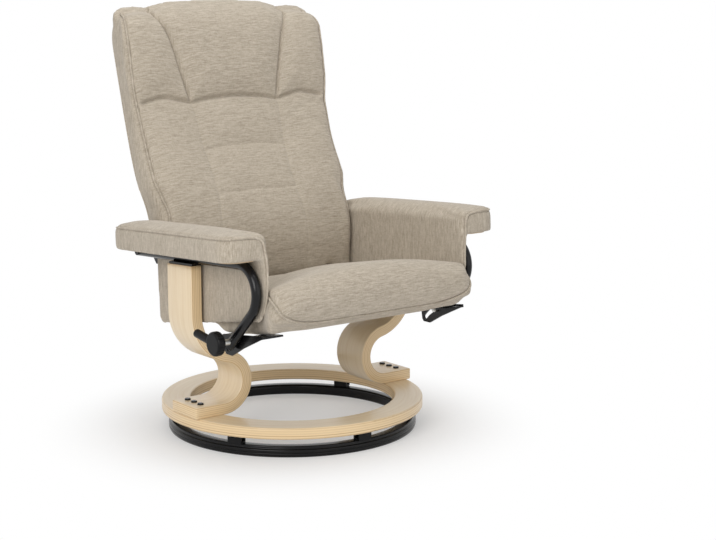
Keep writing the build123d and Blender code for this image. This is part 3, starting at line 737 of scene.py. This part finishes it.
FLOOR_RING_CORNERS = [
    (0.2680, 0.0, 0.003),
    (0.2925, 0.0, 0.002),
    (0.2945, 0.0045, 0.0015),
    (0.2945, 0.0085, 0.0008),
    (0.2932, 0.0095, 0.0005),
    (0.2945, 0.0105, 0.0008),
    (0.2945, 0.0165, 0.002),
    (0.2905, 0.0190, 0.0015),
    (0.2905, 0.0250, 0.003),
    (0.2690, 0.0250, 0.003),
    (0.2660, 0.0200, 0.002),
    (0.2660, 0.0050, 0.002),
]
floor_ring = lathe("floor_ring_profile", rounded(FLOOR_RING_CORNERS), RING_BLACK)
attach(floor_ring, "floor_base")
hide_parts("floor_ring")


# Back: one sewn cover over the shell, the back cushion and the head cushion

COVER_VOXEL = 0.006
COVER_PRESSURE = 5.0
COVER_CAP = 0.016
NO_SHIFT = (0, 0, 0)
BACK_SOURCES = [
    ("back_shell", NO_SHIFT),
    ("back_cushion", (0, 0.004, 0)),
    ("head_cushion", (0, 0.004, 0)),
    ("head_cushion", (0, 0.004, -0.004)),
]
BACK_LOW_CUT = 0.346
BACK_WELT_RADIUS = 0.0024
BACK_EDGE_LIFT = 0.002
BACK_REAR_LIFT = 0.0006

# Moves of the back's cover
REAR_CLEARANCE = 0.0042
TOP_REAR_EXTRA = 1.3
FRONT_INSET = 0.003
HEAD_PUFF = 0.007
BELOW_HEAD_PUFF = 0.004
CROWN_RISE = 0.005
CROWN_DROP = 0.012
SEAM_DEPTH = 0.0100
QUILT_DEPTH = 0.0016
EAR_RISE = 0.006
EAR_SPREAD = 0.6
LOW_EDGE_DROP = 0.022
FREE_EDGE_DROP = 0.014
LOW_CORNER_DROP = 0.012
LOW_CORNER_SPREAD = 0.006

# How far each of them reaches from its seam or place
HEAD_PUFF_REACH = 0.030
BELOW_HEAD_PUFF_REACH = 0.045
SEAM_REACH = 0.0040
QUILT_REACH = 0.0042
EAR_PLACE = np.array([0.272, 0.330, 0.958])
EAR_STRETCH = np.array([1.0, 0.6, 1.0])
EAR_REACH = 0.013
HINGE_X = 0.198
HINGE_REACH = 0.018

# Zones of the back, each from where a change begins to where it is full
FRONT_FACING = (0.1, 0.6)
REAR_FACING = (0.1, 0.5)
OPEN_FACING = (0.05, 0.5)
HEAD_Z = (0.752, 0.775)
BELOW_HEAD_Z = (0.66, 0.74)
CROWN_X = (0.190, 0.110)
CROWN_Y = (0.305, 0.330)
CROWN_Z = (0.90, 0.985)
TOP_REAR_Y = (0.310, 0.330)
TOP_REAR_Z = (0.925, 0.950)
SEAM_END_X = (0.246, 0.270)
LOW_EDGE_Y = (0.150, 0.125)
LOW_EDGE_Z = (0.395, 0.362)
LOW_CORNER_X = (0.215, 0.250)

# Where the back's cover is held while it swells
BACK_HELD_FACING = 0.25
BACK_HELD_BELOW = 0.40
SEAM_HELD = 0.007
QUILT_HELD = 0.006
QUILT_HOLD = 0.4

# Seams and quilting as seen from the front, each point (x, z)
HEAD_SEAM = [(0.191, 1.010), (0.188, 0.975), (0.178, 0.955), (0.160, 0.905), (0.142, 0.832), (0.124, 0.757)]
SIDE_TUCK = [(0.285, 0.755), (0.263, 0.759), (0.200, 0.771), (0.155, 0.763), (0.124, 0.756)]
MID_TUCK = [(0.124, 0.756), (0.080, 0.764), (0.0, 0.769), (-0.080, 0.764), (-0.124, 0.756)]
QUILT_DOWN = [(0.124, 0.756), (0.120, 0.700), (0.116, 0.647), (0.112, 0.560), (0.122, 0.470), (0.126, 0.380)]
QUILT_HIGH = [(0.116, 0.647), (0.0, 0.655), (-0.116, 0.647)]
QUILT_LOW = [(0.112, 0.547), (0.0, 0.550), (-0.112, 0.547)]

# Welts of the right side's front edge and of the rear's outline, each point (x, y, z)
BACK_EDGE = [
    (-0.262, 0.315, 0.966),
    (-0.270, 0.285, 0.955),
    (-0.2775, 0.262, 0.925),
    (-0.2785, 0.250, 0.880),
    (-0.2785, 0.240, 0.820),
    (-0.2785, 0.224, 0.760),
    (-0.2785, 0.202, 0.690),
    (-0.2785, 0.176, 0.630),
    (-0.276, 0.148, 0.575),
    (-0.266, 0.122, 0.530),
    (-0.2645, 0.112, 0.490),
    (-0.2645, 0.106, 0.430),
]
BACK_REAR_EDGE = [
    (-0.262, 0.176, 0.440),
    (-0.262, 0.200, 0.505),
    (-0.276, 0.240, 0.620),
    (-0.278, 0.290, 0.760),
    (-0.278, 0.325, 0.880),
    (-0.274, 0.342, 0.935),
    (-0.240, 0.344, 0.955),
    (-0.150, 0.344, 0.962),
    (0.0, 0.344, 0.966),
]


def flat_line(points, sign=1):
    return smooth_line([(sign * x, 0.0, z) for x, z in points], 8)


deep_lines = [flat_line(MID_TUCK)]
light_lines = [flat_line(QUILT_HIGH), flat_line(QUILT_LOW)]
for sign in (1, -1):
    deep_lines += [flat_line(HEAD_SEAM, sign), flat_line(SIDE_TUCK, sign)]
    light_lines.append(flat_line(QUILT_DOWN, sign))


def seam_distances(at):
    flat = at * np.array([1.0, 0.0, 1.0])
    return distance_to_any(flat, deep_lines), distance_to_any(flat, light_lines)


def blow_up_back(back):
    # Clears the shell at the rear, then lets the cloth swell between its seams
    at, out = coords(back), normals(back)
    y, z = at[:, 1], at[:, 2]
    front = ease(-out[:, 1], *FRONT_FACING)
    rear = ease(out[:, 1] + 0.6 * np.abs(out[:, 0]), *REAR_FACING)
    rear += TOP_REAR_EXTRA * ease(y, *TOP_REAR_Y) * ease(z, *TOP_REAR_Z)
    near_deep, near_light = seam_distances(at)
    set_coords(back, at + out * (REAR_CLEARANCE * rear - FRONT_INSET * front)[:, None])
    pins = pinned(
        (out[:, 1] > BACK_HELD_FACING, 1.0),
        ((near_deep < SEAM_HELD) & (front > 0), 1.0),
        ((near_light < QUILT_HELD) & (front > 0), QUILT_HOLD),
        (z < BACK_HELD_BELOW, 1.0),
    )
    inflate(back, pins, COVER_PRESSURE, COVER_CAP)


def shape_back(back):
    # Puffs between the seams, sunk seams, a crown, ears at the top corners and a low front edge
    at, out = coords(back), normals(back)
    x, y, z = at.T
    near_deep, near_light = seam_distances(at)
    open_side = ease(-out[:, 1] + 0.7 * out[:, 2], *OPEN_FACING)
    front = ease(-out[:, 1], *FRONT_FACING)
    head = ease(z, *HEAD_Z)
    puff = HEAD_PUFF * (1.0 - bell(near_deep, HEAD_PUFF_REACH)) * head
    low_puff = BELOW_HEAD_PUFF * (1.0 - bell(near_deep, BELOW_HEAD_PUFF_REACH))
    puff += low_puff * ease(z, *BELOW_HEAD_Z) * (1.0 - head)
    crown = (CROWN_RISE * ease(np.abs(x), *CROWN_X) - CROWN_DROP) * ease(z, *CROWN_Z)
    crown *= 1.0 - ease(y, *CROWN_Y)
    sink = SEAM_DEPTH * bell(near_deep, SEAM_REACH) * (1.0 - ease(np.abs(x), *SEAM_END_X))
    sink += QUILT_DEPTH * bell(near_light, QUILT_REACH) * front
    at += out * ((puff - sink) * open_side)[:, None]
    z += crown
    from_corner = (np.abs(at) - EAR_PLACE) * EAR_STRETCH
    ear = EAR_RISE * bell(np.linalg.norm(from_corner, axis=1), EAR_REACH)
    x += np.sign(x) * ear * EAR_SPREAD
    z += ear
    low_front = ease(z, *LOW_EDGE_Z) * ease(y, *LOW_EDGE_Y)
    hinge_room = 1.0 - bell(np.abs(x) - HINGE_X, HINGE_REACH)
    low_corner = ease(np.abs(x), *LOW_CORNER_X)
    z -= (LOW_EDGE_DROP + FREE_EDGE_DROP * hinge_room + LOW_CORNER_DROP * low_corner) * low_front
    x += np.sign(x) * LOW_CORNER_SPREAD * low_corner * low_front
    set_coords(back, at)


back = remeshed("back_cover", BACK_SOURCES, COVER_VOXEL, keep_above=BACK_LOW_CUT)
relax(back, 4, SMOOTH)
relax(back, 12, SMOOTH, SMOOTH_BACK)
blow_up_back(back)
relax(back, 2, LIGHT)
refined(back)
shape_back(back)
relax(back, 2, LIGHT, LIGHT_BACK)
back_surface = surface_of(back)
right_edge = np.array(BACK_EDGE, float)
back_edges = {
    "right": laid_on(back_surface, smooth_line(right_edge)),
    "left": laid_on(back_surface, smooth_line(right_edge * OTHER_SIDE)),
}
groove(back, list(back_edges.values()), depth=0.003, width=0.005)
back_surface = surface_of(back)
finished(back, BROAD_CLOTHS, "back", ["back_cushion", "head_cushion"])
for side, line in back_edges.items():
    line = laid_on(back_surface, line, BACK_EDGE_LIFT)
    welt(f"back_welt_{side}", line, "back", CLOTH_UPRIGHT, BACK_WELT_RADIUS)
rear_line = laid_on(back_surface, both_halves(smooth_line(BACK_REAR_EDGE)), BACK_REAR_LIFT)
welt("back_welt_rear", rear_line, "back", CLOTH_ACROSS, BACK_WELT_RADIUS)


# Seat: one cover over the cushion and its frame, crowned, with a welt low on the front

SEAT_SOURCES = [("seat_cushion", NO_SHIFT), ("seat_frame", NO_SHIFT), ("seat_frame", (0, 0, 0.003))]
SEAT_MID_Y = -0.120
SEAT_WELT_RADIUS = 0.0028

# Moves of the seat's cover
SEAT_RISE = 0.010
SIDE_FALL = 0.046
SIDE_FALL_AT = 0.25
FRONT_FLATTER = 0.42
REAR_FALL = 0.018
TUCK_DEPTH = 0.062
CORNER_SPREAD = 0.012
CORNER_LOW_SPREAD = 0.008
CORNER_LIFT = 0.004
TOP_INSET = 0.003

# Zones of the seat, each from where a change begins to where it is full
UPPER_LEVEL = (0.045, 0.115)
FORWARD_Y = (-0.150, -0.310)
REAR_FALL_Y = (-0.16, 0.02)
TUCK_X = (0.232, 0.256)
TUCK_Y = (0.030, 0.080)
TUCK_Z = (0.304, 0.327)
CORNER_X = (0.180, 0.250)
CORNER_Y = (-0.250, -0.315)
CORNER_LEVEL = (0.030, 0.075)
SMOOTHED_X = (0.150, 0.220)
SMOOTHED_Y = (-0.225, -0.285)
SMOOTHED_LEVEL = (0.070, 0.110)

# Where the seat's cover is held while it swells
SEAT_HELD_BELOW = 0.048
SEAT_WELT_HELD = 0.008
SEAT_REAR_HELD_BEHIND = 0.172
SEAT_REAR_HELD_BELOW = 0.09
SEAT_SIDE_FACING = 0.8
SEAT_SIDE_HOLD = 0.8

SEAT_FRONT_WELT = [
    (-0.264, -0.200, 0.400),
    (-0.262, -0.262, 0.392),
    (-0.258, -0.300, 0.374),
    (-0.250, -0.322, 0.348),
    (-0.232, -0.338, 0.329),
    (-0.192, -0.347, 0.321),
    (-0.100, -0.348, 0.320),
    (0.0, -0.348, 0.320),
]


def seat_places(at):
    # Places along and above the tilted seat
    c, s = math.cos(SEAT_TILT), math.sin(SEAT_TILT)
    back_by = at[:, 1] - SEAT_ORIGIN_Y
    up_by = at[:, 2] - SEAT_ORIGIN_Z
    return back_by * c - up_by * s, back_by * s + up_by * c


def shape_seat(seat, front_line):
    # A dome that falls to the sides and the rear, a tuck under the back and full front corners; then lets
    # the cloth swell between its held places
    at = coords(seat)
    x, y, z = at.T
    along, level = seat_places(at)
    upper = ease(level, *UPPER_LEVEL)
    side_fall = SIDE_FALL * (x / SIDE_FALL_AT) ** 2 * (1.0 - FRONT_FLATTER * ease(y, *FORWARD_Y))
    z += (SEAT_RISE - side_fall - REAR_FALL * ease(y, *REAR_FALL_Y)) * upper
    tuck = ease(y, *TUCK_Y) * (1.0 - ease(z, *TUCK_Z)) * (1.0 - ease(np.abs(x), *TUCK_X))
    y += TUCK_DEPTH * tuck
    corner = ease(y, *CORNER_Y) * ease(np.abs(x), *CORNER_X)
    x += np.sign(x) * (CORNER_SPREAD + CORNER_LOW_SPREAD * (1.0 - upper)) * corner
    z += CORNER_LIFT * corner * (1.0 - ease(level, *CORNER_LEVEL))
    set_coords(seat, at)
    smoothed = ease(y, *SMOOTHED_Y) * ease(np.abs(x), *SMOOTHED_X) * (1.0 - ease(level, *SMOOTHED_LEVEL))
    relax(seat, 12, SMOOTH, weight=smoothed[:, None])
    at, out = coords(seat), normals(seat)
    set_coords(seat, at - out * (TOP_INSET * upper)[:, None])
    near_welt = distance_to(coords(seat), wrapped_on(surface_of(seat), front_line, SEAT_MID_Y))
    pins = pinned(
        (level < SEAT_HELD_BELOW, 1.0),
        (near_welt < SEAT_WELT_HELD, 1.0),
        ((along > SEAT_REAR_HELD_BEHIND) & (level < SEAT_REAR_HELD_BELOW), 1.0),
        (np.abs(out[:, 0]) > SEAT_SIDE_FACING, SEAT_SIDE_HOLD),
    )
    inflate(seat, pins, COVER_PRESSURE, COVER_CAP)


seat = remeshed("seat_cover", SEAT_SOURCES, COVER_VOXEL)
relax(seat, 4, SMOOTH)
relax(seat, 10, SMOOTH, SMOOTH_BACK)
front_line = both_halves(smooth_line(SEAT_FRONT_WELT))
shape_seat(seat, front_line)
relax(seat, 2, LIGHT)
refined(seat)
front_line = wrapped_on(surface_of(seat), front_line, SEAT_MID_Y)
groove(seat, [front_line], depth=0.0028, width=0.006)
finished(seat, BROAD_CLOTHS, "seat", ["seat_cushion", "seat_frame"])
welt("seat_welt", front_line, "seat", CLOTH_ACROSS, SEAT_WELT_RADIUS)


# Arms: top pad and side panel under one cover, with a welt round the outer top edge and down the front

ARM_VOXEL = 0.005
ARM_PRESSURE = 4.0
ARM_CAP = 0.011
ARM_WELT_RADIUS = 0.0026
ARM_WELT_LIFT = 0.002
PANEL_LIFT = (0, 0, 0.012)

# Where an arm's cover is held while it swells
ARM_HELD_BELOW = 0.022
ARM_WELT_HELD = 0.006
ARM_SIDE_FACING = 0.7
ARM_SIDE_HELD_BELOW = 0.045
ARM_SIDE_HOLD = 0.9

# The underside of the top pad, which is lifted a little
UNDERSIDE_LEVEL = 0.0145
UNDERSIDE_OUTSIDE = 0.2855
UNDERSIDE_FACING = -0.5
UNDERSIDE_LIFT = 0.002


def in_arm(x, along, level):
    # A point given along and above the tilted arm
    c, s = math.cos(ARM_TILT), math.sin(ARM_TILT)
    return (x, LEG_Y + along * c + level * s, TUBE_Z - along * s + level * c)


ARM_WELT = [in_arm(-0.379, along, 0.067) for along in (0.175, 0.10, 0.0, -0.10, -0.20, -0.242)]
ARM_WELT += [
    in_arm(-0.374, -0.268, 0.067),
    in_arm(-0.362, -0.281, 0.067),
    in_arm(-0.340, -0.2865, 0.0675),
    in_arm(-0.315, -0.287, 0.067),
    in_arm(-0.296, -0.287, 0.062),
    in_arm(-0.283, -0.287, 0.048),
    (-0.2785, -0.302, 0.455),
    (-0.2775, -0.302, 0.420),
    (-0.278, -0.301, 0.380),
    (-0.279, -0.293, 0.340),
]


def arm(side):
    pad, panel, board = f"arm_pad_{side}", f"arm_panel_{side}", f"arm_board_{side}"
    sources = [(pad, NO_SHIFT), (panel, NO_SHIFT), (panel, PANEL_LIFT), (board, NO_SHIFT)]
    obj = remeshed(f"arm_cover_{side}", sources, ARM_VOXEL)
    relax(obj, 3, SMOOTH)
    relax(obj, 10, SMOOTH, SMOOTH_BACK)
    line = smooth_line(ARM_WELT)
    if side == "left":
        line = line * OTHER_SIDE
    at, out = coords(obj), normals(obj)
    level = (at[:, 1] - LEG_Y) * math.sin(ARM_TILT) + (at[:, 2] - TUBE_Z) * math.cos(ARM_TILT)
    pins = pinned(
        (level < ARM_HELD_BELOW, 1.0),
        (distance_to(at, line) < ARM_WELT_HELD, 1.0),
        ((np.abs(out[:, 0]) > ARM_SIDE_FACING) & (level < ARM_SIDE_HELD_BELOW), ARM_SIDE_HOLD),
    )
    inflate(obj, pins, ARM_PRESSURE, ARM_CAP)
    relax(obj, 2, LIGHT)
    at = coords(obj)
    under = (level < UNDERSIDE_LEVEL) & (out[:, 2] < UNDERSIDE_FACING)
    at[under & (np.abs(at[:, 0]) > UNDERSIDE_OUTSIDE), 2] += UNDERSIDE_LIFT
    set_coords(obj, at)
    refined(obj)
    groove(obj, [line], depth=0.003, width=0.0055)
    welt_line = laid_on(surface_of(obj), line, ARM_WELT_LIFT)
    finished(obj, ARM_CLOTHS, "carriage", [pad, panel])
    welt(f"arm_welt_{side}", welt_line, "carriage", CLOTH_UPRIGHT, ARM_WELT_RADIUS)


arm("right")
arm("left")


# Materials of the CAD nodes that stay, by whole name or by its start

LOOKS = {
    "wood_ring": BIRCH_RING,
    "track_ring": ZINC,
    "lock_wheel": MOULDED,
    "clamp_sleeve": ZINC,
    "clamp_screw": ZINC,
    "pivot_bolt_left": ZINC,
    "back_shell": PLYWOOD,
}
LOOKS_BY_START = {
    "roller_bracket": MOULDED,
    "roller_": NYLON,
    "foot_bolt": STEEL,
    "side_tube": STEEL,
    "tube_cap": MOULDED,
    "arm_board": PLYWOOD,
    "back_pivot": BLACK_ZINC,
    "clamp_nut": ZINC,
    "back_bracket": STEEL,
    "hinge_pin": ZINC,
    "hinge_arm": STEEL,
    "seat_bracket": STEEL,
    "seat_spring": ZINC,
}
for name, obj in nodes.items():
    if obj.hide_render:
        continue
    look = LOOKS.get(name)
    if look is None:
        look = next(material for start, material in LOOKS_BY_START.items() if name.startswith(start))
    obj.data.materials.clear()
    obj.data.materials.append(look)


# Stage: floor, light and camera

FLOOR_REACH = 30.0
FLOOR_PAINT = (0.92, 0.92, 0.925, 1.0)
WHITE = (1.0, 1.0, 1.0, 1.0)
AMBIENT_TINT = (1.0, 0.99, 0.975, 1.0)
AMBIENT_STRENGTH = 0.42
LAMP_TINT = (1.0, 0.99, 0.97)
KEY_TINT = (1.0, 0.99, 0.98)

# Distances from the middle over which the floor goes over to plain white, and the share of white near it
WHITE_RANGE = (0.27, 0.62)
LEAST_WHITE = 0.30

corners = [(-1, -1), (1, -1), (1, 1), (-1, 1)]
floor_mesh = bpy.data.meshes.new("floor")
floor_mesh.from_pydata([(x * FLOOR_REACH, y * FLOOR_REACH, 0) for x, y in corners], [], [(0, 1, 2, 3)])
floor = new_object("floor", floor_mesh)
material, tree, shader, place = new_material("floor_paint")
paint(shader, Base_Color=FLOOR_PAINT, Roughness=0.7, Specular_IOR_Level=0.15)
glow = make(tree, "Emission", {"Color": WHITE, "Strength": 1.0}).outputs[0]
away = make(tree, "VectorMath", {0: place}, operation="LENGTH").outputs["Value"]
fade = mapped(tree, away, WHITE_RANGE, (LEAST_WHITE, 1.0), interpolation_type="SMOOTHSTEP")
share = times(tree, fade, shown_directly(tree))
blend = make(tree, "MixShader", {0: share, 1: shader.outputs[0], 2: glow})
tree.links.new(blend.outputs[0], tree.nodes["Material Output"].inputs["Surface"])
floor_mesh.materials.append(material)

world = bpy.data.worlds.new("studio")
scene.world = world
world.use_nodes = True
tree = world.node_tree
ambient = make(tree, "Background", {"Color": AMBIENT_TINT, "Strength": AMBIENT_STRENGTH}).outputs[0]
plain = make(tree, "Background", {"Color": WHITE, "Strength": 1.0}).outputs[0]
blend = make(tree, "MixShader", {0: shown_directly(tree), 1: ambient, 2: plain})
tree.links.new(blend.outputs[0], tree.nodes["World Output"].inputs["Surface"])


def softbox(name, spot, target, size, watts, colour):
    lamp = bpy.data.lights.new(name, "AREA")
    lamp.shape = "RECTANGLE"
    lamp.size, lamp.size_y = size
    lamp.energy = watts
    lamp.color = colour
    obj = new_object(name, lamp)
    obj.location = spot
    obj.rotation_euler = (Vector(target) - Vector(spot)).to_track_quat("-Z", "Y").to_euler()
    obj.visible_camera = False


softbox("top_light", (0.2, -0.2, 3.0), (0.0, 0.0, 0.4), size=(2.6, 2.6), watts=41.0, colour=LAMP_TINT)
softbox("front_light", (0.4, -3.4, 1.2), (0.0, 0.0, 0.5), size=(2.4, 2.0), watts=11.0, colour=LAMP_TINT)
softbox("key_light", (-2.9, -1.8, 1.8), (0.0, 0.0, 0.5), size=(1.8, 1.8), watts=56.0, colour=KEY_TINT)

CAMERA_PLACE = (-2.1788, -3.0425, 1.0397)
CAMERA_TILT = math.radians(79.85)
CAMERA_TURN = math.radians(-38.0)
SENSOR_WIDTH = 36.0
LENS = 81.1

camera_data = bpy.data.cameras.new("camera")
camera_data.sensor_width = SENSOR_WIDTH
camera_data.lens = LENS
camera = new_object("camera", camera_data)
camera.location = CAMERA_PLACE
camera.rotation_euler = (CAMERA_TILT, 0.0, CAMERA_TURN)
scene.camera = camera
scene.view_settings.view_transform = "Standard"
